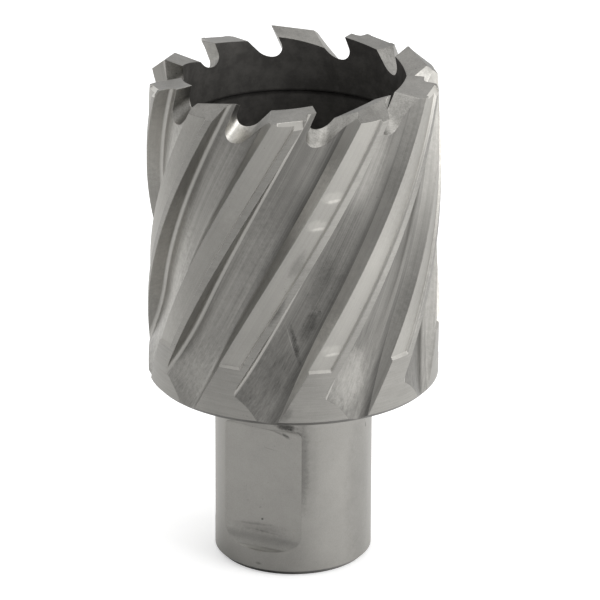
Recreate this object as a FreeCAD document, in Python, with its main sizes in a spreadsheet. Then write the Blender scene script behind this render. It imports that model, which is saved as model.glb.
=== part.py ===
import FreeCAD, Part
import math
import os

import Sketcher

Vector = FreeCAD.Vector
Rotation = FreeCAD.Rotation

# Driving dimensions, in millimetres and degrees
# Heights of the cup and teeth are measured from the underside of the cup.
# Angles run counterclockwise seen from the teeth, from the direction of -Y.
SIZES = [
    ("shank_radius", 9.525),
    ("shank_length", 23.0),
    ("shank_chamfer", 0.6),
    ("shank_root_chamfer", 0.3),
    ("flat_depth", 1.5),
    ("flat_angle", -26.5),
    ("flat_second_turn", -90.0),
    ("flat_low_end", 5.0),
    ("flat_low_radius", 2.2),
    ("flat_high_end", 18.05),
    ("flat_high_radius", 1.0),
    ("pilot_radius", 3.2),
    ("pilot_chamfer", 0.5),
    ("cup_radius", 17.5),
    ("cup_length", 38.8),
    ("cup_edge_chamfer", 0.5),
    ("rim_chamfer_width", 0.95),
    ("rim_chamfer_drop", 1.5),
    ("bore_radius", 13.4),
    ("bore_land_length", 7.6),
    ("bore_relief", 0.15),
    ("bore_floor", 6.5),
    ("bore_corner_chamfer", 1.2),
    ("tooth_pairs", 5),
    ("tooth_angle", 9.4),
    ("helix_angle", 30.0),
    ("flute_lag", 2.7),
    ("flute_depth", 1.95),
    ("flute_corner_bevel", 0.3),
    ("flute_foot_bevel", 0.6),
    ("heel_slope", 57.0),
    ("land_width", 3.65),
    ("flute_runout_top", 13.0),
    ("flute_breakout", 3.4),
    ("flute_exit_depth", 0.6),
    ("margin_width", 0.95),
    ("relief_depth", 0.26),
    ("relief_bottom", 6.7),
    ("gullet_depth", 3.3),
    ("gullet_offset", 0.38),
    ("gullet_radius", 1.1),
    ("gullet_back_radius", 2.6),
    ("gullet_hook", 23.0),
    ("gullet_back_slope", 44.0),
    ("gullet_pitch", 36.0),
    ("gullet_yaw", 12.5),
    ("roof_ridge_radius", 15.43),
    ("roof_inner_slope", 21.7),
    ("roof_outer_slope", 37.8),
    ("roof_clearance", 9.2),
    ("roof_yaw", 3.1),
    ("flat_top_drop", 0.4),
    ("flat_top_slope", 4.3),
    ("flat_top_clearance", 8.1),
    ("cut_clearance", 1.0),
]

# Level sections of each loft: over the run-out of a flute, and over the length above it
RUNOUT_STEPS = 3
FLUTE_STEPS = 4
# How far a tooth's top reaches back from its cutting edge, as a share of the pitch
TOP_REACH = 0.75
# Least volume of a cut, and most that a pattern may be off, in cubic millimetres
VOLUME_TOLERANCE = 1.0

doc = FreeCAD.newDocument("annular_cutter")
sheet = doc.addObject("Spreadsheet::Sheet", "Sizes")
for row, (alias, size) in enumerate(SIZES, start=1):
    sheet.set(f"A{row}", alias)
    sheet.set(f"B{row}", str(size))
    sheet.setAlias(f"B{row}", alias)
doc.recompute()


def number(formula):
    """The value of a sum of named sizes, such as "shank_radius - shank_chamfer"."""
    total = 0.0
    sign = 1.0
    for word in formula.split():
        if word in ("+", "-"):
            sign = 1.0 if word == "+" else -1.0
        else:
            total += sign * float(sheet.get(word))
    return total


def bound(formula):
    """The same sum written as an expression on the spreadsheet."""
    return " ".join(word if word in ("+", "-") else f"Sizes.{word}" for word in formula.split())


def radians(formula):
    return math.radians(number(formula))


def origin_plane(body, role):
    return next(item for item in body.Origin.OriginFeatures if item.Role == role)


def new_sketch(body, name, role, offset=None):
    sketch = body.newObject("Sketcher::SketchObject", name)
    sketch.AttachmentSupport = [(origin_plane(body, role), "")]
    sketch.MapMode = "FlatFace"
    if offset is not None:
        sketch.AttachmentOffset = offset
    return sketch


def upright_offset(angle, distance):
    """A plane square to the radius at this angle, this far from the axis."""
    turn = Rotation(Vector(0, 1, 0), math.degrees(angle))
    return FreeCAD.Placement(turn.multVec(Vector(0, 0, distance)), turn)


def radial_offset(angle):
    """A plane through the axis that holds the radius at this angle."""
    turn = Rotation(Vector(0, 1, 0), math.degrees(angle) - 90.0)
    return FreeCAD.Placement(Vector(0, 0, 0), turn)


def level_offset(angle, height):
    """A level plane at this height, its x axis along the radius at this angle."""
    turn = Rotation(Vector(0, 0, 1), math.degrees(angle) - 90.0)
    return FreeCAD.Placement(Vector(0, 0, height), turn)


def radius_at(angle):
    return Vector(math.sin(angle), -math.cos(angle), 0)


def tangent_at(angle):
    return Vector(math.cos(angle), math.sin(angle), 0)


def bind_point(sketch, geometry, place, across, up):
    """Fix one point of the sketch to two sums of named sizes."""
    for kind, formula in (("DistanceX", across), ("DistanceY", up)):
        if not formula:
            axis = -1 if kind == "DistanceY" else -2
            sketch.addConstraint(Sketcher.Constraint("PointOnObject", geometry, place, axis))
            continue
        rule = Sketcher.Constraint(kind, -1, 1, geometry, place, number(formula))
        index = sketch.addConstraint(rule)
        sketch.setExpression(f"Constraints[{index}]", bound(formula))


def draw_bound_outline(sketch, corners):
    """A closed outline through (across, up) corners, each coordinate a sum of named sizes."""
    points = [Vector(number(across), number(up), 0) for across, up in corners]
    for index, point in enumerate(points):
        sketch.addGeometry(Part.LineSegment(points[index - 1], point), False)
    for index, (across, up) in enumerate(corners):
        before = (index - 1) % len(corners)
        bind_point(sketch, index, 2, across, up)
        sketch.addConstraint(Sketcher.Constraint("Coincident", before, 2, index, 1))


def rounded_path(corners):
    """Edges of an outline of (point, corner radius) pairs, each round corner as an arc."""
    count = len(corners)
    joints = []
    for index, (point, radius) in enumerate(corners):
        if not radius:
            joints.append((point, None, point))
            continue
        before = (corners[index - 1][0] - point).normalize()
        after = (corners[(index + 1) % count][0] - point).normalize()
        half = math.acos(max(-1.0, min(1.0, before.dot(after)))) / 2
        reach = radius / math.tan(half)
        bisector = (before + after).normalize()
        centre = point + bisector * (radius / math.sin(half))
        joints.append((point + before * reach, centre - bisector * radius, point + after * reach))
    edges = []
    for index, (start, middle, end) in enumerate(joints):
        if middle is not None:
            edges.append(Part.Arc(start, middle, end))
        edges.append(Part.LineSegment(end, joints[(index + 1) % count][0]))
    return edges


def bevelled_path(corners):
    """Edges of an outline of (point, bevel) pairs, each bevel cut this far back along both sides."""
    points = []
    for index, (point, bevel) in enumerate(corners):
        if not bevel:
            points.append(point)
            continue
        before = (corners[index - 1][0] - point).normalize()
        after = (corners[(index + 1) % len(corners)][0] - point).normalize()
        points.append(point + before * bevel)
        points.append(point + after * bevel)
    return [Part.LineSegment(points[index - 1], point) for index, point in enumerate(points)]


def draw_edges(sketch, edges):
    for edge in edges:
        sketch.addGeometry(edge, False)


def check_body(body):
    for item in doc.Objects:
        bad = [word for word in item.State if word in ("Invalid", "Error")]
        if bad:
            raise RuntimeError(f"{item.Label} did not compute: {bad}")
    if body.Shape.isNull() or not body.Shape.isValid():
        raise RuntimeError(f"{body.Label} has no valid shape")


# Heights and angles shared by the features of the cup

underside = number("shank_length")
tip_height = number("shank_length + cup_length")
cup_radius = number("cup_radius")
tooth_pitch = math.pi / number("tooth_pairs")
twist = math.tan(radians("helix_angle")) / cup_radius
clearance = number("cut_clearance")


def rake_edge_angle(height):
    """Angle of the first tooth's cutting edge on the outer surface at this height."""
    return radians("tooth_angle - flute_lag") + twist * (height - tip_height)


# Turned blank: shank, cup, bore and pilot hole in one profile


def add_blank(body):
    sketch = new_sketch(body, "blank_profile", "XZ_Plane")
    top = "shank_length + cup_length"
    floor = "shank_length + bore_floor"
    draw_bound_outline(
        sketch,
        [
            ("pilot_radius + pilot_chamfer", ""),
            ("shank_radius - shank_chamfer", ""),
            ("shank_radius", "shank_chamfer"),
            ("shank_radius", "flat_low_end"),
            ("shank_radius", "flat_high_end"),
            ("shank_radius", "shank_length - shank_root_chamfer"),
            ("shank_radius + shank_root_chamfer", "shank_length"),
            ("cup_radius - cup_edge_chamfer", "shank_length"),
            ("cup_radius", "shank_length + cup_edge_chamfer"),
            ("cup_radius", f"{top} - rim_chamfer_drop"),
            ("cup_radius - rim_chamfer_width", top),
            ("bore_radius", top),
            ("bore_radius", f"{top} - bore_land_length"),
            ("bore_radius + bore_relief", f"{top} - bore_land_length - bore_relief"),
            ("bore_radius + bore_relief", f"{floor} + bore_corner_chamfer"),
            ("bore_radius + bore_relief - bore_corner_chamfer", floor),
            ("pilot_radius + pilot_chamfer", floor),
            ("pilot_radius", f"{floor} - pilot_chamfer"),
            ("pilot_radius", "pilot_chamfer"),
        ],
    )
    blank = body.newObject("PartDesign::Revolution", "blank")
    blank.Profile = sketch
    blank.ReferenceAxis = (sketch, ["V_Axis"])
    blank.Angle = 360.0
    blank.Refine = False
    return blank


# Drive flats: milled across the shank, with a round run-out at each end


def add_flat(body, name, angle):
    sketch = new_sketch(body, f"{name}_profile", "XZ_Plane", radial_offset(angle))
    face = number("shank_radius - flat_depth")
    reach = number("shank_radius + flat_low_radius")
    low = number("flat_low_end - flat_low_radius")
    high = number("flat_high_end + flat_high_radius")
    corners = [
        (Vector(face, low, 0), number("flat_low_radius")),
        (Vector(face, high, 0), number("flat_high_radius")),
        (Vector(reach, high, 0), 0),
        (Vector(reach, low, 0), 0),
    ]
    draw_edges(sketch, rounded_path(corners))
    cut = body.newObject("PartDesign::Pocket", name)
    cut.Profile = sketch
    cut.Refine = False
    cut.Midplane = True
    cut.setExpression("Length", "2 * Sizes.shank_radius")
    return cut


# Gullets: one U cut between each two teeth, hooked under the tooth in front and sloping
# down towards the outside


def add_gullet(body):
    angle = radians("tooth_angle")
    start = number("bore_radius - cut_clearance") * math.cos(tooth_pitch / 2)
    slope = math.tan(radians("gullet_pitch"))
    drift = math.tan(radians("gullet_yaw"))
    inset = number("bore_radius") - start
    sketch = new_sketch(body, "gullet_profile", "XZ_Plane", upright_offset(angle, start))

    radius = number("gullet_radius")
    back_radius = number("gullet_back_radius")
    bottom_height = tip_height - number("gullet_depth") + inset * slope
    bottom = Vector(number("gullet_offset") + inset * drift, bottom_height, 0)
    hook = radians("gullet_hook")
    back = radians("gullet_back_slope")
    top = tip_height + inset * slope + (cup_radius - start) * slope + clearance

    front_centre = bottom + Vector(0, radius, 0)
    front_foot = front_centre + Vector(-math.cos(hook), math.sin(hook), 0) * radius
    front_rise = top - front_foot.y
    front_top = front_foot + Vector(front_rise * math.tan(hook), front_rise, 0)
    back_centre = bottom + Vector(0, back_radius, 0)
    back_foot = back_centre + Vector(math.sin(back), -math.cos(back), 0) * back_radius
    back_rise = top - back_foot.y
    back_top = back_foot + Vector(back_rise / math.tan(back), back_rise, 0)
    half_turn = (math.pi / 2 + hook) / 2
    front_middle = front_centre + Vector(-math.sin(half_turn), -math.cos(half_turn), 0) * radius
    back_middle = back_centre + Vector(math.sin(back / 2), -math.cos(back / 2), 0) * back_radius
    edges = [
        Part.LineSegment(front_top, front_foot),
        Part.Arc(front_foot, front_middle, bottom),
        Part.Arc(bottom, back_middle, back_foot),
        Part.LineSegment(back_foot, back_top),
        Part.LineSegment(back_top, front_top),
    ]
    draw_edges(sketch, edges)

    cut = body.newObject("PartDesign::Pocket", "gullet")
    cut.Profile = sketch
    cut.Refine = False
    cut.UseCustomVector = True
    cut.Direction = radius_at(angle) - tangent_at(angle) * drift - Vector(0, 0, slope)
    cut.AlongSketchNormal = True
    cut.Length = cup_radius - start + clearance
    return cut


# Flutes: right-hand helical grooves up the outside that run out shallow near the underside


def rake_floor_radius(height):
    """Radius of the flute's floor at the rake wall, which breaks out at the outer surface."""
    top = number("flute_runout_top")
    rise = max(0.0, top - height) / (top - number("flute_breakout"))
    return cup_radius - number("flute_depth") + number("flute_depth") * rise * rise


def foot_floor_radius(height):
    """Radius of the flute's floor at its foot, which leaves through the underside."""
    rise = max(0.0, number("flute_runout_top") - height) / number("flute_runout_top")
    return cup_radius - number("flute_depth") + number("flute_depth - flute_exit_depth") * rise * rise


def flute_section(body, index, height, reach):
    sketch = new_sketch(
        body,
        f"flute_section_{index}",
        "XY_Plane",
        level_offset(rake_edge_angle(underside + height), underside + height),
    )
    rake_foot = Vector(rake_floor_radius(height), 0, 0)
    heel_angle = tooth_pitch - number("land_width") / cup_radius
    outward = Vector(math.cos(heel_angle), math.sin(heel_angle), 0)
    forward = Vector(-math.sin(heel_angle), math.cos(heel_angle), 0)
    slope = radians("heel_slope")
    climb = outward + forward / math.tan(slope)
    heel_edge = outward * cup_radius
    corners = [
        (Vector(reach, 0, 0), 0),
        (rake_foot, number("flute_corner_bevel")),
        (heel_edge - climb * (cup_radius - foot_floor_radius(height)), number("flute_foot_bevel")),
        (heel_edge + climb * (reach - cup_radius), 0),
    ]
    draw_edges(sketch, bevelled_path(corners))
    return sketch


def add_loft(body, name, sections):
    cut = body.newObject("PartDesign::SubtractiveLoft", name)
    cut.Profile = sections[0]
    cut.Sections = sections[1:]
    cut.Ruled = False
    cut.Refine = False
    return cut


def heights_between(start, end, count):
    return [start + (end - start) * step / count for step in range(count)]


def add_flute(body):
    top = number("cup_length") + clearance
    runout = number("flute_runout_top")
    heights = heights_between(-clearance, runout, RUNOUT_STEPS)
    heights += heights_between(runout, top, FLUTE_STEPS) + [top]
    reach = rake_floor_radius(-clearance) + number("flute_corner_bevel") + clearance
    sections = [
        flute_section(body, index, height, reach) for index, height in enumerate(heights, start=1)
    ]
    return add_loft(body, "flute", sections)


# Relief behind each margin: a shallow step that ends level above the underside


def relief_section(body, index, height):
    sketch = new_sketch(
        body,
        f"relief_section_{index}",
        "XY_Plane",
        level_offset(rake_edge_angle(underside + height), underside + height),
    )
    start = tooth_pitch - number("land_width + cut_clearance") / cup_radius
    end = tooth_pitch - number("margin_width") / cup_radius
    inner = number("cup_radius - relief_depth")
    outer = number("cup_radius + cut_clearance")

    def at(radius, angle):
        return Vector(radius * math.cos(angle), radius * math.sin(angle), 0)

    corners = [at(outer, start), at(inner, start), at(inner, end), at(outer, end)]
    draw_edges(sketch, bevelled_path([(corner, 0) for corner in corners]))
    return sketch


def add_relief(body):
    top = number("cup_length") + clearance
    heights = heights_between(number("relief_bottom"), top, FLUTE_STEPS) + [top]
    sections = [relief_section(body, index, height) for index, height in enumerate(heights, start=1)]
    return add_loft(body, "relief", sections)


# Tooth tops: every other tooth has one face that slopes gently outwards, and each tooth
# between has a roof of two faces, whose ridge stands highest


def add_tooth_top(body, name, angle, outline, direction):
    """Cut away what stands above an outline that runs from the bore outwards."""
    behind = number("bore_radius") * math.tan(tooth_pitch * TOP_REACH)
    offset = radial_offset(angle)
    offset.Base = offset.Rotation.multVec(Vector(0, 0, -clearance))
    sketch = new_sketch(body, f"{name}_profile", "XZ_Plane", offset)
    crest = tip_height + (behind + clearance) * math.tan(radians("roof_clearance")) + clearance
    corners = outline + [Vector(outline[-1].x, crest, 0), Vector(outline[0].x, crest, 0)]
    draw_edges(sketch, rounded_path([(corner, 0) for corner in corners]))
    cut = body.newObject("PartDesign::Pocket", name)
    cut.Profile = sketch
    cut.Refine = False
    cut.UseCustomVector = True
    cut.Direction = direction
    cut.AlongSketchNormal = True
    cut.Length = behind + clearance
    return cut


def tooth_direction(angle, yaw, clearance_angle):
    """From a tooth's cutting edge back along its top."""
    back = tangent_at(angle) + radius_at(angle) * math.tan(yaw)
    return -(back + Vector(0, 0, math.tan(clearance_angle)))


def add_flat_top(body):
    angle = radians("tooth_angle")
    slope = math.tan(radians("flat_top_slope"))
    lift = clearance * math.tan(radians("flat_top_clearance"))
    inner = number("bore_radius - cut_clearance")
    outer = number("cup_radius + cut_clearance")
    edge = number("shank_length + cup_length - flat_top_drop") + lift
    outline = [
        Vector(inner, edge + (number("bore_radius") - inner) * slope, 0),
        Vector(outer, edge + (number("bore_radius") - outer) * slope, 0),
    ]
    direction = tooth_direction(angle, 0.0, radians("flat_top_clearance"))
    return add_tooth_top(body, "flat_tooth_top", angle, outline, direction)


def add_roof_top(body):
    angle = radians("tooth_angle") + tooth_pitch
    inner = number("bore_radius - cut_clearance")
    outer = number("cup_radius + cut_clearance")
    ridge = Vector(
        number("roof_ridge_radius") + clearance * math.tan(radians("roof_yaw")),
        tip_height + clearance * math.tan(radians("roof_clearance")),
        0,
    )
    outline = [
        Vector(inner, ridge.y - (ridge.x - inner) * math.tan(radians("roof_inner_slope")), 0),
        ridge,
        Vector(outer, ridge.y - (outer - ridge.x) * math.tan(radians("roof_outer_slope")), 0),
    ]
    direction = tooth_direction(angle, radians("roof_yaw"), radians("roof_clearance"))
    return add_tooth_top(body, "roof_tooth_top", angle, outline, direction)


def add_pattern(body, name, features, count):
    pattern = body.newObject("PartDesign::PolarPattern", name)
    pattern.Refine = False
    pattern.Originals = features
    pattern.Axis = (origin_plane(body, "Z_Axis"), [""])
    pattern.Angle = 360.0
    pattern.setExpression("Occurrences", count)
    body.Tip = pattern
    return pattern


def cut_all_round(body, name, feature, count):
    """Repeat a cut round the axis, and check that every copy took the same volume."""
    doc.recompute()
    one_cut = body.Shape.Volume
    before = feature.BaseFeature.Shape.Volume
    pattern = add_pattern(body, name, [feature], count)
    doc.recompute()
    expected = before - (before - one_cut) * pattern.Occurrences
    if before - one_cut < VOLUME_TOLERANCE or abs(body.Shape.Volume - expected) > VOLUME_TOLERANCE:
        raise RuntimeError(f"{name} left {body.Shape.Volume:.2f} instead of {expected:.2f}")


def main():
    body = doc.addObject("PartDesign::Body", "annular_cutter")
    add_blank(body)
    doc.recompute()
    all_teeth = "2 * Sizes.tooth_pairs"
    cut_all_round(body, "reliefs", add_relief(body), all_teeth)
    cut_all_round(body, "flutes", add_flute(body), all_teeth)
    cut_all_round(body, "gullets", add_gullet(body), all_teeth)
    cut_all_round(body, "flat_tooth_tops", add_flat_top(body), "Sizes.tooth_pairs")
    cut_all_round(body, "roof_tooth_tops", add_roof_top(body), "Sizes.tooth_pairs")
    add_flat(body, "drive_flat", radians("flat_angle"))
    add_flat(body, "second_drive_flat", radians("flat_angle + flat_second_turn"))
    doc.recompute()
    check_body(body)
    os.makedirs("parts", exist_ok=True)
    body.Shape.exportStep(f"parts/{body.Label}.step")


main()
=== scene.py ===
import math

import bmesh
import bpy
import numpy as np
from mathutils import Matrix, Vector


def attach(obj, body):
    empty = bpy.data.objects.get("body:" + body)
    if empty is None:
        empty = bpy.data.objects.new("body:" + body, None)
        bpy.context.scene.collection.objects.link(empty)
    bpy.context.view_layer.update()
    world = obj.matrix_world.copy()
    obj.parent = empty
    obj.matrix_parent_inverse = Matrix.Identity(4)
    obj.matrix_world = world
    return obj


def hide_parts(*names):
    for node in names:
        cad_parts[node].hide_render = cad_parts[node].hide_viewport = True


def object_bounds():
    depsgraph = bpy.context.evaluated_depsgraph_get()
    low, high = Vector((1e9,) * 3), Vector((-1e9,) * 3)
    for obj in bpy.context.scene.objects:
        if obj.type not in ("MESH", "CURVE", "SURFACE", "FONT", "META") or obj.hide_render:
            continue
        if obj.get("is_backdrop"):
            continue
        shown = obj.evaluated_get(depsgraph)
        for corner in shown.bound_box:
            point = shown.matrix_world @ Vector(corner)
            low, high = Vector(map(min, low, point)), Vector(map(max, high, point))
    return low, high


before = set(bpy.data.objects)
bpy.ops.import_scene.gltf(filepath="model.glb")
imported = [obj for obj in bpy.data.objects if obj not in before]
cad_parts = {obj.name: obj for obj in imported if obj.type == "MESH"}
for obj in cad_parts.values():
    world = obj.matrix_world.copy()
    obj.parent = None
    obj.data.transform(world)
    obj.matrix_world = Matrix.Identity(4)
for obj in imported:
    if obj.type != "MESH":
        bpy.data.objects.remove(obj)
cad_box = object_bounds()

MM = 0.001

# Sizes of the cutter in millimetres. z is 0 at the shank's end, and angles are counted
# counterclockwise seen from the teeth, from -Y.

# The turned blank
SHANK_R = 9.525
SHANK_CHAMFER = 0.6
SHANK_ROOT = 0.3
UNDERSIDE = 23.0
TIP = 61.8
CUP_R = 17.5
CUP_CHAMFER = 0.5
RIM_WIDTH = 0.95
RIM_DROP = 1.5
BORE_R = 13.4
BORE_LAND = 7.6
BORE_RELIEF = 0.15
BORE_FLOOR = 29.5
BORE_CORNER = 1.2
PILOT_R = 3.2
PILOT_CHAMFER = 0.5

# Flutes, whose heights are measured from the cup's underside, and the lands between them
TEETH = 10
PITCH = 2 * math.pi / TEETH
FIRST_TOOTH = math.radians(9.4)
TWIST = math.tan(math.radians(30.0)) / CUP_R
FLUTE_LAG = math.radians(2.7)
FLUTE_DEPTH = 2.05
RUNOUT_TOP = 13.0
BREAKOUT = 3.4
EXIT_DEPTH = 0.6
HEEL_SLOPE = math.radians(57.0)
RAKE_FILLET = 0.55
HEEL_FILLET = 1.5
LAND = 3.65 / CUP_R
MARGIN = 0.95 / CUP_R
RELIEF_DEPTH = 0.3
RELIEF_BOTTOM = 6.6
RELIEF_BEVEL = 0.35
SHOULDER_LEAN = 0.6

# Gullets
GULLET_DEPTH = 3.3
GULLET_OFFSET = 0.38
GULLET_R = 1.1
GULLET_BACK_R = 2.6
GULLET_HOOK = math.radians(23.0)
GULLET_BACK = math.radians(44.0)
GULLET_FALL = math.tan(math.radians(36.0))
GULLET_DRIFT = math.tan(math.radians(12.5))

# Flat tooth tops, with a chamfer along the relieved land
FLAT_TOP_DROP = 0.4
FLAT_TOP_SLOPE = math.tan(math.radians(4.3))
FLAT_TOP_FALL = math.tan(math.radians(8.1))
CHAMFER_R = 16.86
CHAMFER_STEEP = 1.6
CHAMFER_YAW = math.tan(math.radians(10.5))
CHAMFER_BEHIND = 1.78
CHAMFER_LENGTH = 2.9

# Roof-shaped tooth tops
RIDGE_R = 15.43
ROOF_INSIDE = math.tan(math.radians(21.7))
ROOF_OUTSIDE = math.tan(math.radians(37.8))
ROOF_FALL = math.tan(math.radians(9.2))
ROOF_YAW = math.tan(math.radians(3.1))

# Drive flats
FLAT_DEPTH = 1.5
FLAT_LOW = 5.0
FLAT_LOW_R = 2.2
FLAT_HIGH = 18.05
FLAT_HIGH_R = 1.0
FLAT_TURNS = (math.radians(-26.5), math.radians(-116.5))

# How far the cutting shapes reach past the surfaces they cut, and above the tips
PAST = 1.0
ABOVE = 1.5
CREST = 3.0
FLUTE_REACH = 21.5
RELIEF_RISE = 0.04

# Fineness of the mesh
COLUMNS = 240
WALL_STEP = 1.2
FLOOR_INSET = 2.0
FLUTE_STEP = 0.7
FILLET_POINTS = 7
FLOOR_POINTS = 11
LAND_POINTS = 9
CORNER_POINTS = 6
GULLET_POINTS = 9
GULLET_BACK_POINTS = 7
FLAT_LOW_POINTS = 8
FLAT_HIGH_POINTS = 6
CRISP = math.radians(24.0)

# Zones of the surface, each with a finish of its own, and two zones of painted light: a painted
# highlight on edges and painted shade on chamfers
ZONES = [
    "outside",
    "land",
    "rake_wall",
    "flute_corner",
    "flute_floor",
    "heel_wall",
    "gullet",
    "tooth_top",
    "painted_highlight_edge",
    "bore",
    "underside",
    "painted_shade_chamfer",
    "shank",
    "flat",
]
ZONE = {name: index for index, name in enumerate(ZONES)}


def rake_angle(height):
    """Angle of the first cutting edge on the outer surface, at a height above the underside."""
    return FIRST_TOOTH - FLUTE_LAG + TWIST * (height + UNDERSIDE - TIP)


def polar(radius, angle, z):
    """A point at a radius and an angle round the axis."""
    return (radius * math.sin(angle), -radius * math.cos(angle), z)


def beside(radius, tangent, z, turn):
    """A point at a radius along the direction turn, and at a distance aside from it."""
    sin, cos = math.sin(turn), math.cos(turn)
    return (radius * sin + tangent * cos, -radius * cos + tangent * sin, z)


# Mesh helpers, where a part is its points in millimetres, its faces and the zone of each face


def mesh_object(name, verts, faces, zones):
    mesh = bpy.data.meshes.new(name)
    mesh.from_pydata([[c * MM for c in v] for v in verts], [], faces)
    mesh.polygons.foreach_set("material_index", zones)
    for zone in ZONES:
        mesh.materials.append(MATERIALS[zone])
    form = bmesh.new()
    form.from_mesh(mesh)
    bmesh.ops.recalc_face_normals(form, faces=form.faces)
    form.to_mesh(mesh)
    form.free()
    piece = bpy.data.objects.new(name, mesh)
    bpy.context.scene.collection.objects.link(piece)
    return piece


def ring_stack(rings, zone_of, closed):
    """Faces between rings of points, either capped at both ends or joined into a loop."""
    count = len(rings[0])
    verts = [point for ring in rings for point in ring]
    faces, zones = [], []
    last = len(rings) if closed else len(rings) - 1
    for row in range(last):
        below = row * count
        above = (row + 1) % len(rings) * count
        for column in range(count):
            after = (column + 1) % count
            faces.append((below + column, below + after, above + after, above + column))
            zones.append(zone_of(row, column))
    if not closed:
        faces.append(tuple(reversed(range(count))))
        faces.append(tuple(range((len(rings) - 1) * count, len(rings) * count)))
        zones += [zone_of(0, 0)] * 2
    return verts, faces, zones


def joined(name, parts):
    """One object made of several parts."""
    verts, faces, zones = [], [], []
    for part_verts, part_faces, part_zones in parts:
        start = len(verts)
        verts += part_verts
        faces += [tuple(index + start for index in face) for face in part_faces]
        zones += part_zones
    return mesh_object(name, verts, faces, zones)


def turned(part, angle):
    """The part turned round the axis."""
    verts, faces, zones = part
    cos, sin = math.cos(angle), math.sin(angle)
    return [(x * cos - y * sin, x * sin + y * cos, z) for x, y, z in verts], faces, zones


def round_the_cup(name, part):
    """One object with a copy of the part for every tooth."""
    return joined(name, [turned(part, PITCH * index) for index in range(TEETH)])


def cut(piece, tool):
    """Takes the tool's shape out of the piece, and removes the tool."""
    modifier = piece.modifiers.new("cut", "BOOLEAN")
    modifier.operation = "DIFFERENCE"
    modifier.solver = "EXACT"
    modifier.object = tool
    bpy.context.view_layer.update()
    shaped = piece.evaluated_get(bpy.context.evaluated_depsgraph_get())
    mesh = bpy.data.meshes.new_from_object(shaped)
    piece.modifiers.clear()
    piece.data = mesh
    bpy.data.objects.remove(tool)


def spread(start, end, step):
    """Even steps of about this size from start, up to but without end."""
    count = max(1, round(abs(end - start) / step))
    return [start + (end - start) * index / count for index in range(count)]


def arc_points(centre, radius, start, end, count):
    """Points along an arc, from the angle start to the angle end, both ends included."""
    return [
        (centre[0] + radius * math.cos(a), centre[1] + radius * math.sin(a))
        for a in np.linspace(start, end, count)
    ]


# Node helpers


class Graph:
    """A short way to write the nodes of a material or of the world."""

    def __init__(self, tree):
        self.tree = tree

    def node(self, kind, **settings):
        made = self.tree.nodes.new(kind)
        for key, value in settings.items():
            setattr(made, key, value)
        return made

    def link(self, source, target):
        if isinstance(source, (int, float, tuple, list)):
            target.default_value = source
        else:
            self.tree.links.new(source, target)

    def math(self, operation, a, b=0.0, c=0.0):
        made = self.node("ShaderNodeMath", operation=operation)
        self.link(a, made.inputs[0])
        self.link(b, made.inputs[1])
        self.link(c, made.inputs[2])
        return made.outputs[0]

    def vary(self, value, noise, width):
        """The value, moved up and down by a noise of about 0.5 over this width."""
        return self.math("MULTIPLY_ADD", self.math("SUBTRACT", noise, 0.5), width, value)

    def ramp(self, value, low, high, out_low, out_high):
        """A smooth step from out_low to out_high as the value goes from low to high."""
        made = self.node("ShaderNodeMapRange", interpolation_type="SMOOTHSTEP")
        for slot, source in enumerate((value, low, high, out_low, out_high)):
            self.link(source, made.inputs[slot])
        return made.outputs[0]

    def place(self):
        """Position on the object in millimetres, as a vector and as x, y and z."""
        coordinates = self.node("ShaderNodeTexCoord")
        scale = self.node("ShaderNodeVectorMath", operation="SCALE")
        self.link(coordinates.outputs["Object"], scale.inputs[0])
        scale.inputs["Scale"].default_value = 1 / MM
        split = self.node("ShaderNodeSeparateXYZ")
        self.link(scale.outputs[0], split.inputs[0])
        return scale.outputs[0], split.outputs

    def untwisted(self, place, z):
        """The same position turned back along the flutes, so that it stays put along one."""
        turn = self.node("ShaderNodeVectorRotate", rotation_type="Z_AXIS")
        self.link(place, turn.inputs["Vector"])
        self.link(self.math("MULTIPLY", z, -TWIST), turn.inputs["Angle"])
        return turn.outputs[0]

    def noise(self, place, scale, stretch=(1, 1, 1), detail=3.0, rough=0.55):
        """Noise with this many waves a millimetre, times the stretch along each axis."""
        mapping = self.node("ShaderNodeMapping")
        self.link(place, mapping.inputs["Vector"])
        mapping.inputs["Scale"].default_value = [scale * s for s in stretch]
        made = self.node("ShaderNodeTexNoise")
        self.link(mapping.outputs[0], made.inputs["Vector"])
        made.inputs["Scale"].default_value = 1.0
        made.inputs["Detail"].default_value = detail
        made.inputs["Roughness"].default_value = rough
        return made.outputs["Fac"]

    def grey(self, value, tint):
        """A colour of this lightness with a slight tint."""
        made = self.node("ShaderNodeCombineColor")
        for slot, share in zip(made.inputs, tint):
            self.link(self.math("MULTIPLY", value, share), slot)
        return made.outputs[0]


def new_material(name):
    """A material, the graph of its nodes and its main shader."""
    material = bpy.data.materials.new(name)
    material.use_nodes = True
    tree = material.node_tree
    return material, Graph(tree), tree.nodes["Principled BSDF"]


# Steel

STEEL_TINT = (1.0, 0.975, 0.915)
OXIDE_TINT = (1.0, 0.96, 0.90)
DARKEST = 0.02
PATCH_WAVES = 0.22
RAGGED_WAVES = 2.0
FLECK_WAVES = 2.6
FLECK_FROM, FLECK_TO = 0.70, 0.78
GRIT_WAVES = 9.0
GRIT = 0.06
ROUGHNESS_SPREAD = 0.15
WORN_EDGE = 0.12

# Each kind of grain: waves, stretch and roughness of its fine noise, waves and stretch of its
# broad noise. Along the axis the untwisted flute grain is long, and the turned one is short.
GRAINS = {
    "flute": (5.0, (1, 1, 0.012), 0.6, 1.3, (1, 1, 0.03)),
    "round": (6.0, (0.04, 0.04, 1), 0.6, 1.2, (0.08, 0.08, 1)),
    "none": (5.0, (1, 1, 1), 0.65, 1.1, (1, 1, 1)),
}


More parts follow.
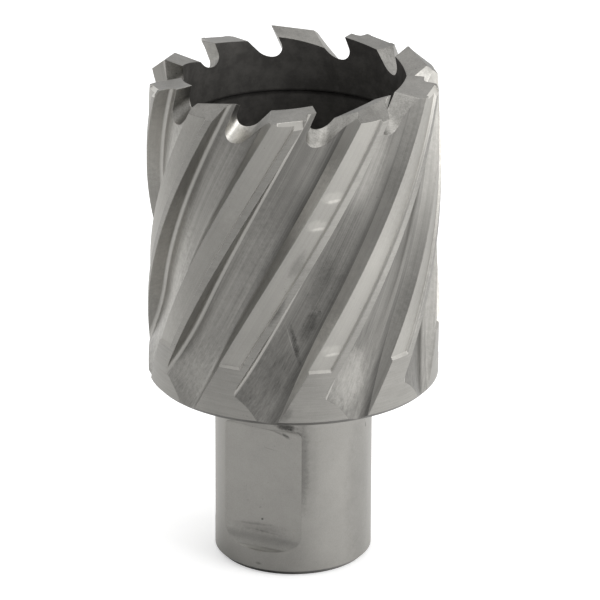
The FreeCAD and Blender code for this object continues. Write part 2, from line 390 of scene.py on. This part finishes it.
class Mark:
    """A soft oval: its angle, z, length, height and tilt, and how much lighter it is."""

    RAGGED = 1.2
    FULL, GONE = 0.5, 1.7

    def __init__(self, angle, z, length, height, tilt, change):
        self.angle = math.radians(angle)
        self.z = z
        self.half_length = length / 2
        self.half_height = height / 2
        self.tilt = math.radians(tilt)
        self.change = change

    def amount(self, g, radius, around, z, ragged):
        """Change of lightness at a point, from its angle round the axis, its height and a noise."""
        across = g.math("MULTIPLY", g.math("SUBTRACT", around, self.angle), radius)
        up = g.math("SUBTRACT", z, self.z)
        cos, sin = math.cos(self.tilt), math.sin(self.tilt)
        along = g.math("MULTIPLY_ADD", up, sin, g.math("MULTIPLY", across, cos))
        aside = g.math("MULTIPLY_ADD", up, cos, g.math("MULTIPLY", across, -sin))
        long_part = g.math("POWER", g.math("DIVIDE", along, self.half_length), 2.0)
        high_part = g.math("POWER", g.math("DIVIDE", aside, self.half_height), 2.0)
        reach = g.math("ADD", long_part, high_part)
        reach = g.math("MULTIPLY_ADD", ragged, self.RAGGED, reach)
        return g.ramp(reach, self.FULL, self.GONE, self.change, 0.0)


def steel(
    name,
    lightness,
    roughness,
    grain,
    fleck=0.0,
    mottle=0.06,
    grain_depth=0.05,
    bump=0.004,
    marks=(),
    mark_radius=CUP_R,
):
    """Worked steel: grain along the flutes, round the axis or in no direction."""
    material, g, shader = new_material(name)
    place, (x, y, z) = g.place()
    lines = g.untwisted(place, z) if grain == "flute" else place
    fine_scale, fine_stretch, fine_rough, broad_scale, broad_stretch = GRAINS[grain]
    fine = g.noise(lines, fine_scale, fine_stretch, 4.0, fine_rough)
    broad = g.noise(lines, broad_scale, broad_stretch, 2.0)
    patches = g.noise(place, PATCH_WAVES)
    value = g.vary(lightness, fine, 2 * grain_depth)
    value = g.vary(value, broad, grain_depth)
    value = g.vary(value, patches, 2 * mottle)
    if fleck:
        spots = g.noise(place, FLECK_WAVES, detail=2.0, rough=0.7)
        value = g.math("SUBTRACT", value, g.ramp(spots, FLECK_FROM, FLECK_TO, 0.0, fleck))
    if marks:
        around = g.math("ARCTAN2", x, g.math("MULTIPLY", y, -1.0))
        ragged = g.noise(place, RAGGED_WAVES, detail=4.0, rough=0.65)
        for mark in marks:
            value = g.math("ADD", value, mark.amount(g, mark_radius, around, z, ragged))
    value = g.vary(value, g.noise(place, GRIT_WAVES, detail=1.0), GRIT)
    value = g.math("MAXIMUM", value, DARKEST)
    g.link(g.grey(value, STEEL_TINT), shader.inputs["Base Color"])
    shader.inputs["Metallic"].default_value = 1.0
    g.link(g.vary(roughness, patches, ROUGHNESS_SPREAD), shader.inputs["Roughness"])
    raised = g.node("ShaderNodeBump")
    raised.inputs["Strength"].default_value = 0.5
    raised.inputs["Distance"].default_value = bump * MM
    g.link(fine, raised.inputs["Height"])
    worn_edge = g.node("ShaderNodeBevel", samples=4)
    worn_edge.inputs["Radius"].default_value = WORN_EDGE * MM
    g.link(worn_edge.outputs[0], raised.inputs["Normal"])
    g.link(raised.outputs[0], shader.inputs["Normal"])
    return material


def oxide(name):
    """Dark oxide left from hardening inside the cup, with painted shade along the turned step below
    the rim.
    """
    material, g, shader = new_material(name)
    place, (x, y, z) = g.place()
    cloud = g.noise(place, 0.5, detail=5.0, rough=0.6)
    turned_lines = g.noise(place, 4.0, (0.05, 0.05, 1))
    value = g.vary(g.ramp(cloud, 0.35, 0.7, 0.09, 0.17), turned_lines, 0.03)
    # Painted shade along the step where the bore's relief begins
    line = g.math("ABSOLUTE", g.math("SUBTRACT", z, TIP - BORE_LAND - BORE_RELIEF))
    value = g.math("MULTIPLY", value, g.ramp(line, 0.15, 0.5, 0.45, 1.0))
    g.link(g.grey(value, OXIDE_TINT), shader.inputs["Base Color"])
    shader.inputs["Metallic"].default_value = 0.75
    g.link(g.ramp(cloud, 0.3, 0.7, 0.62, 0.5), shader.inputs["Roughness"])
    return material


# Painted highlights on the lands, each a bright core in a dimmer halo, a long smudge and scratches,
# and painted shade making the lands duller at both sides of the cup
LAND_MARKS = [
    # Painted highlights: three glints, each a bright core and a dimmer halo
    Mark(15.8, 50.9, 2.4, 0.5, 6, 0.145),
    Mark(15.2, 51.3, 3.2, 1.8, 6, 0.09),
    Mark(9.6, 47.6, 2.4, 0.5, 6, 0.145),
    Mark(9.0, 48.0, 3.2, 1.8, 6, 0.09),
    Mark(15.5, 31.8, 2.2, 0.5, 4, 0.132),
    Mark(15.0, 32.3, 3.0, 1.6, 4, 0.08),
    Mark(1.5, 43.2, 4.6, 1.5, 62, -0.10),
    Mark(42.0, 37.4, 5.0, 0.10, -5, -0.165),
    Mark(46.0, 29.5, 2.4, 0.10, 0, -0.145),
    # Painted shade at both sides of the cup
    Mark(-42.0, 46.0, 16.0, 44.0, 0, -0.07),
    Mark(68.0, 45.0, 20.0, 44.0, 0, -0.07),
]
# One tooth top duller and one lighter than the rest
TOP_MARKS = [
    Mark(26.0, 60.0, 9.0, 8.0, 0, -0.045),
    Mark(66.0, 60.0, 9.0, 8.0, 0, 0.03),
]
# A painted highlight in one gullet, and other gullets lighter and darker, one more than the next
GULLET_MARKS = [
    # Painted highlight in the gullet left of the front
    Mark(-30.0, 58.5, 4.5, 4.5, 0, 0.22),
    Mark(10.5, 58.6, 1.6, 4.0, -20, -0.07),
    Mark(44.0, 58.5, 4.0, 4.0, 0, -0.09),
    Mark(92.0, 60.0, 5.0, 4.0, 0, 0.16),
]
# Painted highlights along the corners beside the rake walls, on the left of the cup
CORNER_MARKS = [
    Mark(-46.0, 36.0, 9.0, 2.4, 62, 0.24),
    Mark(-74.0, 48.0, 16.0, 40.0, 0, 0.06),
]
# A smudge, painted shade where the front flute's floor starts to rise, and a scratch in the front
# flute, lighter and darker stretches of the floors, and painted light on the floors at the left of
# the cup
FLOOR_MARKS = [
    Mark(7.0, 34.9, 6.0, 2.0, 62, -0.08),
    # Painted shade where the front flute's floor starts to rise
    Mark(0.8, 32.6, 5.6, 0.9, -75, -0.09),
    Mark(-1.6, 33.4, 4.4, 0.2, -72, 0.07),
    Mark(19.0, 43.0, 17.0, 5.5, 62, -0.046),
    Mark(34.0, 54.0, 12.0, 6.0, 62, 0.085),
    Mark(22.0, 28.5, 9.0, 6.5, 62, 0.132),
    Mark(-5.0, 29.0, 8.0, 5.0, 62, -0.05),
    Mark(10.0, 38.0, 14.0, 5.0, 62, -0.03),
    # Painted light on the floors at the left of the cup
    Mark(-50.0, 42.0, 30.0, 60.0, 0, 0.095),
    Mark(-38.0, 27.5, 10.0, 8.0, 0, 0.06),
    Mark(-78.0, 44.0, 18.0, 60.0, 0, 0.14),
]
# Painted highlights on the heel walls in the front flutes, and painted shade making them duller at
# both sides of the cup
HEEL_MARKS = [
    Mark(12.0, 50.0, 13.0, 9.0, 62, 0.22),
    Mark(27.0, 37.0, 22.0, 7.0, 62, 0.10),
    Mark(10.0, 30.5, 14.0, 8.0, 62, 0.16),
    Mark(-34.0, 40.0, 24.0, 40.0, 0, -0.08),
    Mark(72.0, 42.0, 22.0, 60.0, 0, -0.12),
]
# Dark strips along two margins, small dark marks, a darker patch at the cup's lower edge, and
# painted light and painted shade across the outside
OUTSIDE_MARKS = [
    Mark(31.0, 26.6, 0.8, 0.5, 40, -0.132),
    Mark(-22.0, 30.4, 3.0, 0.3, 4, -0.079),
    Mark(-9.2, 56.5, 8.0, 1.5, 62, -0.13),
    Mark(-6.7, 37.5, 5.5, 1.5, 62, -0.13),
    # Painted light on the outside right of the front
    Mark(24.0, 48.0, 22.0, 24.0, 0, 0.07),
    Mark(-4.0, 24.5, 3.0, 2.0, 30, -0.09),
    # Painted shade towards the right side of the cup
    Mark(72.0, 46.0, 16.0, 40.0, 0, -0.05),
]
# Painted highlights on the shoulders of the lands made weaker on the right, and painted light on
# the rake walls on the left
EDGE_MARKS = [
    Mark(82.0, 42.0, 20.0, 30.0, 0, -0.25),
]
RAKE_MARKS = [
    Mark(-74.0, 48.0, 14.0, 50.0, 0, 0.17),
]
# Painted shade under the cup, a strip of painted shade beside the front flat, broader painted shade
# on the right, and two small dark specks
SHANK_MARKS = [
    # Painted shade under the cup
    Mark(-5.0, 19.5, 3.2, 1.0, -8, -0.24),
    Mark(2.0, 18.8, 2.6, 0.6, -30, -0.08),
    # Painted shade in a strip beside the front flat
    Mark(6.0, 14.8, 2.2, 15.0, 0, -0.085),
    Mark(10.5, 14.5, 3.2, 15.0, 0, -0.03),
    # Painted shade on the right of the shank
    Mark(56.0, 9.0, 6.0, 24.0, 0, -0.045),
    Mark(-26.0, 1.3, 1.0, 0.4, 0, -0.10),
    Mark(66.0, 17.6, 0.4, 0.8, 10, -0.12),
]
# A painted dark reflection across the curved lower end of the front flat, with a lighter line at
# its foot, specks, and scratches at its upper end
FLAT_MARKS = [
    # Painted dark reflection across the flat's curved lower end
    Mark(-31.0, 5.4, 10.0, 1.6, 3, -0.05),
    Mark(-27.0, 4.2, 12.0, 2.6, 2, -0.06),
    Mark(-34.0, 5.7, 6.0, 0.4, 4, -0.06),
    Mark(-24.0, 4.9, 6.0, 0.3, -2, -0.05),
    Mark(-30.0, 3.0, 8.0, 0.5, 0, 0.10),
    Mark(-27.5, 6.5, 0.5, 0.35, 20, -0.26),
    Mark(-29.5, 8.0, 0.5, 0.2, 30, -0.08),
    Mark(-12.0, 18.2, 4.0, 0.4, -12, -0.10),
    Mark(-6.0, 18.0, 1.6, 0.6, -30, -0.14),
    Mark(-30.0, 18.6, 5.0, 0.25, -8, -0.06),
    Mark(-20.0, 15.9, 2.6, 0.15, -6, -0.06),
]

MATERIALS = {
    "outside": steel("outside", 0.30, 0.50, "round", fleck=0.12, marks=OUTSIDE_MARKS),
    "land": steel("land", 0.39, 0.55, "flute", fleck=0.12, grain_depth=0.04, marks=LAND_MARKS),
    "rake_wall": steel("rake_wall", 0.32, 0.45, "flute", marks=RAKE_MARKS),
    # Lighter than the floors: a painted highlight along each fillet, with a smoother finish
    "flute_corner": steel("flute_corner", 0.36, 0.36, "flute", marks=CORNER_MARKS),
    # Darker than the lands: partly a darker milled finish, partly painted shade standing in for the
    # floors' weaker reflection
    "flute_floor": steel(
        "flute_floor", 0.20, 0.42, "flute", fleck=0.08, grain_depth=0.09, marks=FLOOR_MARKS
    ),
    "heel_wall": steel(
        "heel_wall", 0.36, 0.45, "flute", fleck=0.08, grain_depth=0.07, marks=HEEL_MARKS
    ),
    "gullet": steel(
        "gullet", 0.30, 0.44, "none", fleck=0.16, mottle=0.14, grain_depth=0.16, marks=GULLET_MARKS
    ),
    "tooth_top": steel(
        "tooth_top", 0.20, 0.48, "none", fleck=0.12, mottle=0.07, grain_depth=0.07, marks=TOP_MARKS
    ),
    # Painted highlight along the shoulders of the lands and the chamfers of the flat tops
    "painted_highlight_edge": steel("painted_highlight_edge", 0.56, 0.42, "round", marks=EDGE_MARKS),
    "bore": oxide("bore_oxide"),
    "underside": steel("underside", 0.264, 0.48, "round"),
    # Painted shade on the downward-facing chamfers at the shank's end and the cup's lower edge
    "painted_shade_chamfer": steel("painted_shade_chamfer", 0.145, 0.50, "round", mottle=0.08),
    "shank": steel("shank", 0.305, 0.46, "none", 0.08, 0.05, 0.02, 0.003, SHANK_MARKS, SHANK_R),
    "flat": steel("flat", 0.35, 0.46, "none", 0.08, 0.05, 0.03, 0.003, FLAT_MARKS, SHANK_R),
}


# The turned blank


def blank_rings():
    """Rings of the blank from the shank's end round the outside, down the bore and the pilot hole.

    Each is (radius, z, zone of the surface that follows it).
    """
    rings = []

    def ring(radius, z, zone):
        rings.append((radius, z, zone))

    def wall(radius, start, end, zone, step=WALL_STEP):
        for z in spread(start, end, step):
            ring(radius, z, zone)

    def face(z, start, end, zone, step):
        for radius in spread(start, end, step):
            ring(radius, z, zone)

    inside = BORE_R + BORE_RELIEF
    face(0.0, PILOT_R + PILOT_CHAMFER, SHANK_R - SHANK_CHAMFER, "underside", step=1.5)
    # Painted shade on the shank's end chamfer
    ring(SHANK_R - SHANK_CHAMFER, 0.0, "painted_shade_chamfer")
    wall(SHANK_R, SHANK_CHAMFER, UNDERSIDE - SHANK_ROOT, "shank")
    ring(SHANK_R, UNDERSIDE - SHANK_ROOT, "shank")
    face(UNDERSIDE, SHANK_R + SHANK_ROOT, CUP_R - CUP_CHAMFER, "underside", step=2.0)
    # Painted shade on the cup's lower chamfer
    ring(CUP_R - CUP_CHAMFER, UNDERSIDE, "painted_shade_chamfer")
    wall(CUP_R, UNDERSIDE + CUP_CHAMFER, TIP - RIM_DROP, "outside")
    ring(CUP_R, TIP - RIM_DROP, "tooth_top")
    face(TIP, CUP_R - RIM_WIDTH, BORE_R, "tooth_top", step=1.0)
    wall(BORE_R, TIP, TIP - BORE_LAND, "bore")
    ring(BORE_R, TIP - BORE_LAND, "bore")
    wall(inside, TIP - BORE_LAND - BORE_RELIEF, BORE_FLOOR + BORE_CORNER, "bore")
    corner = (inside - BORE_CORNER, BORE_FLOOR + BORE_CORNER)
    for radius, z in arc_points(corner, BORE_CORNER, 0, -math.pi / 2, CORNER_POINTS):
        ring(radius, z, "bore")
    face(BORE_FLOOR, inside - FLOOR_INSET, PILOT_R + PILOT_CHAMFER, "bore", step=1.5)
    ring(PILOT_R + PILOT_CHAMFER, BORE_FLOOR, "bore")
    wall(PILOT_R, BORE_FLOOR - PILOT_CHAMFER, PILOT_CHAMFER, "bore", step=1.5)
    ring(PILOT_R, PILOT_CHAMFER, "underside")
    return rings


def make_blank():
    rings = blank_rings()
    points = [
        [polar(radius, 2 * math.pi * column / COLUMNS, z) for column in range(COLUMNS)]
        for radius, z, _ in rings
    ]
    return mesh_object("cutter", *ring_stack(points, lambda row, column: ZONE[rings[row][2]], True))


# Flutes


def corner_fillet(wall_point, along, aside, centre, floor_radius, radius):
    """Points round the corner between a wall and a curved floor, from the wall to the floor."""
    start = wall_point + aside * radius - centre
    rise = start.dot(along)
    shift = math.sqrt(rise * rise - start.length_squared + (floor_radius + radius) ** 2) - rise
    middle = wall_point + aside * radius + along * shift
    first = -aside
    last = (centre - middle).normalized()
    turn = math.acos(max(-1.0, min(1.0, first.dot(last))))
    square = (last - first * first.dot(last)).normalized()
    return [
        middle + (first * math.cos(turn * t) + square * math.sin(turn * t)) * radius
        for t in np.linspace(0, 1, FILLET_POINTS)
    ]


# Zones of the sides of a flute's section, in the order of flute_ring's points
FLUTE_ZONES = (
    ["rake_wall"] * 2
    + ["flute_corner"] * (FILLET_POINTS - 1)
    + ["flute_floor"] * (FLOOR_POINTS - 1 + FILLET_POINTS - 2)
    + ["heel_wall"] * 3
)


def flute_ring(height):
    """One level section of the first groove: rake wall, fillet, floor, fillet and heel wall."""
    rise = max(0.0, RUNOUT_TOP - height)
    floor_radius = CUP_R - FLUTE_DEPTH
    rake_floor = floor_radius + FLUTE_DEPTH * (rise / (RUNOUT_TOP - BREAKOUT)) ** 2
    foot_floor = floor_radius + (FLUTE_DEPTH - EXIT_DEPTH) * (rise / RUNOUT_TOP) ** 2

    heel = PITCH - LAND
    outward = Vector((math.cos(heel), math.sin(heel)))
    forward = Vector((-math.sin(heel), math.cos(heel)))
    climb = (outward * math.sin(HEEL_SLOPE) + forward * math.cos(HEEL_SLOPE)).normalized()
    aside = (outward * math.cos(HEEL_SLOPE) - forward * math.sin(HEEL_SLOPE)).normalized()

    rake_foot = Vector((rake_floor, 0))
    heel_edge = outward * CUP_R
    heel_foot = heel_edge - climb * ((CUP_R - foot_floor) / math.sin(HEEL_SLOPE))
    half = (heel_foot - rake_foot) / 2
    out = Vector((half.y, -half.x)).normalized()
    centre = rake_foot + half - out * math.sqrt(floor_radius**2 - half.length_squared)

    radial, square = Vector((1, 0)), Vector((0, 1))
    rake_round = corner_fillet(rake_foot, radial, square, centre, floor_radius, RAKE_FILLET)
    foot_round = corner_fillet(heel_foot, climb, aside, centre, floor_radius, HEEL_FILLET)[::-1]
    first = math.atan2(*(rake_round[-1] - centre).yx)
    last = math.atan2(*(foot_round[0] - centre).yx)
    floor = [
        centre + Vector((math.cos(a), math.sin(a))) * floor_radius
        for a in np.linspace(first, last, FLOOR_POINTS)
    ]
    heel_top = heel_edge + climb * (FLUTE_REACH - CUP_R)
    rake_top = Vector((FLUTE_REACH, 0))
    wall = [rake_top, rake_round[0].lerp(rake_top, 0.5)]
    points = wall + rake_round + floor[1:-1] + foot_round + [heel_top]
    turn = rake_angle(height)
    return [
        polar(point.length, math.atan2(point.y, point.x) + turn, height + UNDERSIDE)
        for point in points
    ]


def make_flutes():
    """Ten grooves, each a stack of sections that turn along the helix."""
    top = TIP - UNDERSIDE + ABOVE
    rings = [flute_ring(height) for height in spread(-PAST, top, FLUTE_STEP) + [top]]
    part = ring_stack(rings, lambda row, column: ZONE[FLUTE_ZONES[column]], False)
    return round_the_cup("flutes", part)


def make_reliefs():
    """The ground strips of the lands, behind a margin, with bevelled lower ends."""
    start, end = PITCH - LAND - PAST / CUP_R, PITCH - MARGIN
    outer = (end + SHOULDER_LEAN * PAST / CUP_R, start)
    top = TIP - UNDERSIDE + ABOVE
    ground = spread(RELIEF_BOTTOM + RELIEF_BEVEL, top, FLUTE_STEP) + [top]
    rings = []
    for height in [RELIEF_BOTTOM] + ground:
        depth = RELIEF_DEPTH if height > RELIEF_BOTTOM else -RELIEF_RISE
        turn, z = rake_angle(height), height + UNDERSIDE
        foot = end - SHOULDER_LEAN * depth / CUP_R
        ring = [polar(CUP_R - depth, turn + a, z) for a in np.linspace(start, foot, LAND_POINTS)]
        rings.append(ring + [polar(CUP_R + PAST, turn + a, z) for a in outer])
    shoulder = LAND_POINTS - 1

    def zone_of(row, column):
        # The shoulder column carries a painted highlight
        return ZONE["painted_highlight_edge" if column == shoulder else "land"]

    return round_the_cup("reliefs", ring_stack(rings, zone_of, False))


# Gullets and tooth tops


def prism(outline, along, turn, zone):
    """A straight prism: outline of (radius, tangent, z), swept along such a vector."""
    far = [tuple(a + b for a, b in zip(point, along)) for point in outline]
    rings = [[beside(*point, turn) for point in points] for points in (outline, far)]
    return ring_stack(rings, lambda row, column: ZONE[zone], False)


def make_gullets():
    """Gaps with a hooked front, a round bottom and a sloping back, which fall outwards."""
    start = (BORE_R - PAST) * math.cos(PITCH / 2)
    inset = BORE_R - start
    low_t = GULLET_OFFSET + inset * GULLET_DRIFT
    low_z = TIP - GULLET_DEPTH + inset * GULLET_FALL
    top = TIP + inset * GULLET_FALL + (CUP_R - start) * GULLET_FALL + PAST
    hooked, bottom = math.pi - GULLET_HOOK, 1.5 * math.pi
    centre = (low_t, low_z + GULLET_R)
    front = arc_points(centre, GULLET_R, hooked, bottom, GULLET_POINTS)
    centre = (low_t, low_z + GULLET_BACK_R)
    rear = arc_points(centre, GULLET_BACK_R, bottom, bottom + GULLET_BACK, GULLET_BACK_POINTS)
    front_top = (front[0][0] + (top - front[0][1]) * math.tan(GULLET_HOOK), top)
    rear_top = (rear[-1][0] + (top - rear[-1][1]) / math.tan(GULLET_BACK), top)
    outline = [(start, t, z) for t, z in [front_top] + front + rear[1:] + [rear_top]]
    length = CUP_R - start + 1.5 * PAST
    along = (length, -length * GULLET_DRIFT, -length * GULLET_FALL)
    turns = [FIRST_TOOTH + PITCH * index for index in range(TEETH)]
    return joined("gullets", [prism(outline, along, turn, "gullet") for turn in turns])


def top_tools(name, outline, ahead, along, turns, zone="tooth_top"):
    """Prisms along the teeth: outline of (radius, z) this far ahead of the edge, swept back."""
    points = [(r, ahead, z) for r, z in outline]
    return [joined(name, [prism(points, along, turn, zone)]) for turn in turns]


# Tools for the tops cover three quarters of a pitch, the wall's whole width and all above it
TOP_LENGTH = BORE_R * math.tan(PITCH * 0.75) + PAST
TOP_INNER, TOP_OUTER, TOP_CREST = BORE_R - PAST, CUP_R + PAST, TIP + CREST


def make_flat_tops():
    """Tops with one slope, and the narrow chamfer along their outer edge."""
    turns = [FIRST_TOOTH + 2 * PITCH * index for index in range(TEETH // 2)]
    edge = TIP - FLAT_TOP_DROP + FLAT_TOP_FALL * PAST
    top = [
        (TOP_INNER, edge + PAST * FLAT_TOP_SLOPE),
        (TOP_OUTER, edge - (TOP_OUTER - BORE_R) * FLAT_TOP_SLOPE),
        (TOP_OUTER, TOP_CREST),
        (TOP_INNER, TOP_CREST),
    ]
    back = (0.0, -TOP_LENGTH, -TOP_LENGTH * FLAT_TOP_FALL)
    tools = top_tools("flat_top", top, PAST, back, turns)

    # The chamfer's inner edge crosses the sloping top inside its tool, never on the tool's edge
    inner, outer, height = -0.3, 1.5, 1.7
    brink = edge - (CHAMFER_R - BORE_R) * FLAT_TOP_SLOPE - (PAST + CHAMFER_BEHIND) * FLAT_TOP_FALL
    rim = [(CHAMFER_R + out, brink - out * CHAMFER_STEEP) for out in (inner, outer)]
    rim += [(CHAMFER_R + out, brink + height) for out in (outer, inner)]
    fall = FLAT_TOP_FALL - CHAMFER_YAW * FLAT_TOP_SLOPE
    back = (-CHAMFER_LENGTH * CHAMFER_YAW, -CHAMFER_LENGTH, -CHAMFER_LENGTH * fall)
    # The chamfer carries a painted highlight
    return tools + top_tools("rim", rim, -CHAMFER_BEHIND, back, turns, "painted_highlight_edge")


def make_roof_tops():
    """Tops with a ridge, which falls and drifts inwards behind the edge."""
    turns = [FIRST_TOOTH + PITCH * (2 * index + 1) for index in range(TEETH // 2)]
    ridge_r, ridge_z = RIDGE_R + ROOF_YAW * PAST, TIP + ROOF_FALL * PAST
    outline = [
        (TOP_INNER, ridge_z - (ridge_r - TOP_INNER) * ROOF_INSIDE),
        (ridge_r, ridge_z),
        (TOP_OUTER, ridge_z - (TOP_OUTER - ridge_r) * ROOF_OUTSIDE),
        (TOP_OUTER, TOP_CREST),
        (TOP_INNER, TOP_CREST),
    ]
    back = (-TOP_LENGTH * ROOF_YAW, -TOP_LENGTH, -TOP_LENGTH * ROOF_FALL)
    return top_tools("roof_top", outline, PAST, back, turns)


# Drive flats


def make_flats():
    """The two flats on the shank, each with a rounded lower end and a tighter upper end."""
    face, reach = SHANK_R - FLAT_DEPTH, SHANK_R + FLAT_LOW_R
    low, high = FLAT_LOW - FLAT_LOW_R, FLAT_HIGH + FLAT_HIGH_R
    centre = (face + FLAT_LOW_R, FLAT_LOW)
    low_round = arc_points(centre, FLAT_LOW_R, 1.5 * math.pi, math.pi, FLAT_LOW_POINTS)
    centre = (face + FLAT_HIGH_R, FLAT_HIGH)
    high_round = arc_points(centre, FLAT_HIGH_R, math.pi, math.pi / 2, FLAT_HIGH_POINTS)
    section = [(reach, low)] + low_round + high_round + [(reach, high)]
    side = SHANK_R + PAST / 2
    outline = [(r, -side, z) for r, z in section]
    across = (0.0, 2 * side, 0.0)
    return joined("flats", [prism(outline, across, turn, "flat") for turn in FLAT_TURNS])


def mark_edges(piece, limit):
    """Smooth faces, with crisp edges above the limit, or above half of it between two zones."""
    form = bmesh.new()
    form.from_mesh(piece.data)
    bmesh.ops.remove_doubles(form, verts=form.verts, dist=0.002 * MM)
    bmesh.ops.dissolve_degenerate(form, edges=form.edges, dist=0.001 * MM)
    for face in form.faces:
        face.smooth = True
    for edge in form.edges:
        if len(edge.link_faces) != 2:
            edge.smooth = False
            continue
        first, second = edge.link_faces
        same_zone = first.material_index == second.material_index
        edge.smooth = edge.calc_face_angle(0.0) < (limit if same_zone else limit / 2)
    form.to_mesh(piece.data)
    form.free()


# The cutter. Tooth tops are cut one after another, because their tools overlap.

cutter = make_blank()
tools = [make_reliefs(), make_flutes(), make_gullets()]
tools += make_flat_tops() + make_roof_tops() + [make_flats()]
for tool in tools:
    cut(cutter, tool)
mark_edges(cutter, CRISP)
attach(cutter, "root")
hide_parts("annular_cutter")


# Camera, in front of the cutter and looking down on it

TILT = math.radians(21.542)
ROLL = math.radians(0.178)
DISTANCE = 558.52
AIM_HEIGHT = 32.123
SIDE = 0.76
SENSOR = 36.0
LENS = 278.9


def make_camera():
    data = bpy.data.cameras.new("camera")
    data.sensor_width = SENSOR
    data.lens = LENS
    data.clip_start = 0.05
    data.clip_end = 20.0
    camera = bpy.data.objects.new("camera", data)
    bpy.context.scene.collection.objects.link(camera)
    ahead = Vector((0, math.cos(TILT), -math.sin(TILT)))
    above = Vector((0, math.sin(TILT), math.cos(TILT)))
    right = Vector((1, 0, 0))
    right, above = (
        right * math.cos(ROLL) + above * math.sin(ROLL),
        above * math.cos(ROLL) - right * math.sin(ROLL),
    )
    place = Vector((SIDE, 0, AIM_HEIGHT)) - ahead * DISTANCE
    turn = Matrix((right, above, -ahead)).transposed().to_4x4()
    camera.matrix_world = Matrix.Translation(place * MM) @ turn
    bpy.context.scene.camera = camera


# Light, floor and background

# Each lamp: name, place and size in millimetres, and power
LAMPS = [
    ("key", (330, -180, 330), (260, 260), 0.8),
    ("top", (-40, 60, 520), (420, 420), 0.9),
    ("right", (430, -40, 120), (220, 420), 0.4),
]
# The studio's dim side, seen in the steel, is to the left of the camera
DIM_SIDE = math.radians(-35.0)
DIM_FROM = 0.15
DIM_TO = 0.95
ROOM_DIM = 0.42
ROOM_DIFFUSE = 0.6
FLOOR_GLOW = 0.45
FLOOR_SIZE = 3.0


def make_light(name, where, size, power):
    data = bpy.data.lights.new(name, "AREA")
    data.shape = "RECTANGLE"
    data.size, data.size_y = size[0] * MM, size[1] * MM
    data.energy = power
    lamp = bpy.data.objects.new(name, data)
    bpy.context.scene.collection.objects.link(lamp)
    lamp.location = Vector(where) * MM
    aim = Vector((0, 0, TIP / 2)) - Vector(where)
    lamp.rotation_euler = aim.to_track_quat("-Z", "Y").to_euler()


def bright_side(g, direction):
    """1 on the bright side of the studio and 0 on its dim side, for a level direction."""
    unit = g.node("ShaderNodeVectorMath", operation="NORMALIZE")
    g.link(direction, unit.inputs[0])
    facing = g.node("ShaderNodeVectorMath", operation="DOT_PRODUCT")
    g.link(unit.outputs[0], facing.inputs[0])
    facing.inputs[1].default_value = polar(1.0, DIM_SIDE, 0.0)
    return g.ramp(facing.outputs["Value"], DIM_FROM, DIM_TO, 1.0, 0.0)


def make_floor():
    """A white floor that keeps the shadow and glows a little where it is seen."""
    mesh = bpy.data.meshes.new("floor")
    corners = [(-1, -1), (1, -1), (1, 1), (-1, 1)]
    mesh.from_pydata([(x * FLOOR_SIZE, y * FLOOR_SIZE, 0) for x, y in corners], [], [(0, 1, 2, 3)])
    floor = bpy.data.objects.new("floor", mesh)
    bpy.context.scene.collection.objects.link(floor)
    material, g, shader = new_material("floor")
    shader.inputs["Base Color"].default_value = (0.85, 0.85, 0.85, 1)
    shader.inputs["Roughness"].default_value = 0.9
    side = bright_side(g, g.node("ShaderNodeTexCoord").outputs["Object"])
    rays = g.node("ShaderNodeLightPath").outputs
    seen = g.math("MULTIPLY_ADD", rays["Is Glossy Ray"], side, rays["Is Camera Ray"])
    seen = g.math("ADD", seen, rays["Is Transmission Ray"])
    glow = g.node("ShaderNodeEmission")
    g.link(g.math("MULTIPLY", seen, FLOOR_GLOW), glow.inputs["Strength"])
    both = g.node("ShaderNodeAddShader")
    g.link(shader.outputs[0], both.inputs[0])
    g.link(glow.outputs[0], both.inputs[1])
    g.link(both.outputs[0], g.tree.nodes["Material Output"].inputs["Surface"])
    mesh.materials.append(material)
    floor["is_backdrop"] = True


def make_world():
    """A white room for the camera, dimmer on one side in the steel, and softer as plain light."""
    world = bpy.data.worlds.new("studio")
    bpy.context.scene.world = world
    world.use_nodes = True
    world.cycles.sampling_method = "NONE"
    g = Graph(world.node_tree)
    g.tree.nodes.clear()
    background = g.node("ShaderNodeBackground")
    background.inputs["Color"].default_value = (1, 1, 1, 1)
    side = bright_side(g, g.node("ShaderNodeTexCoord").outputs["Generated"])
    rays = g.node("ShaderNodeLightPath").outputs
    in_steel = g.math("MULTIPLY_ADD", side, 1.0 - ROOM_DIM, ROOM_DIM)
    strength = g.math("MULTIPLY", rays["Is Glossy Ray"], in_steel)
    strength = g.math("MULTIPLY_ADD", rays["Is Diffuse Ray"], ROOM_DIFFUSE, strength)
    strength = g.math("ADD", rays["Is Camera Ray"], strength)
    strength = g.math("ADD", rays["Is Transmission Ray"], strength)
    g.link(strength, background.inputs["Strength"])
    output = g.node("ShaderNodeOutputWorld")
    g.link(background.outputs[0], output.inputs["Surface"])


make_camera()
make_floor()
make_world()
for lamp in LAMPS:
    make_light(*lamp)
bpy.context.scene.view_settings.view_transform = "Standard"

boxes = {"cad": cad_box, "visual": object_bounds()}
{name: [list(corner) for corner in box] for name, box in boxes.items()}
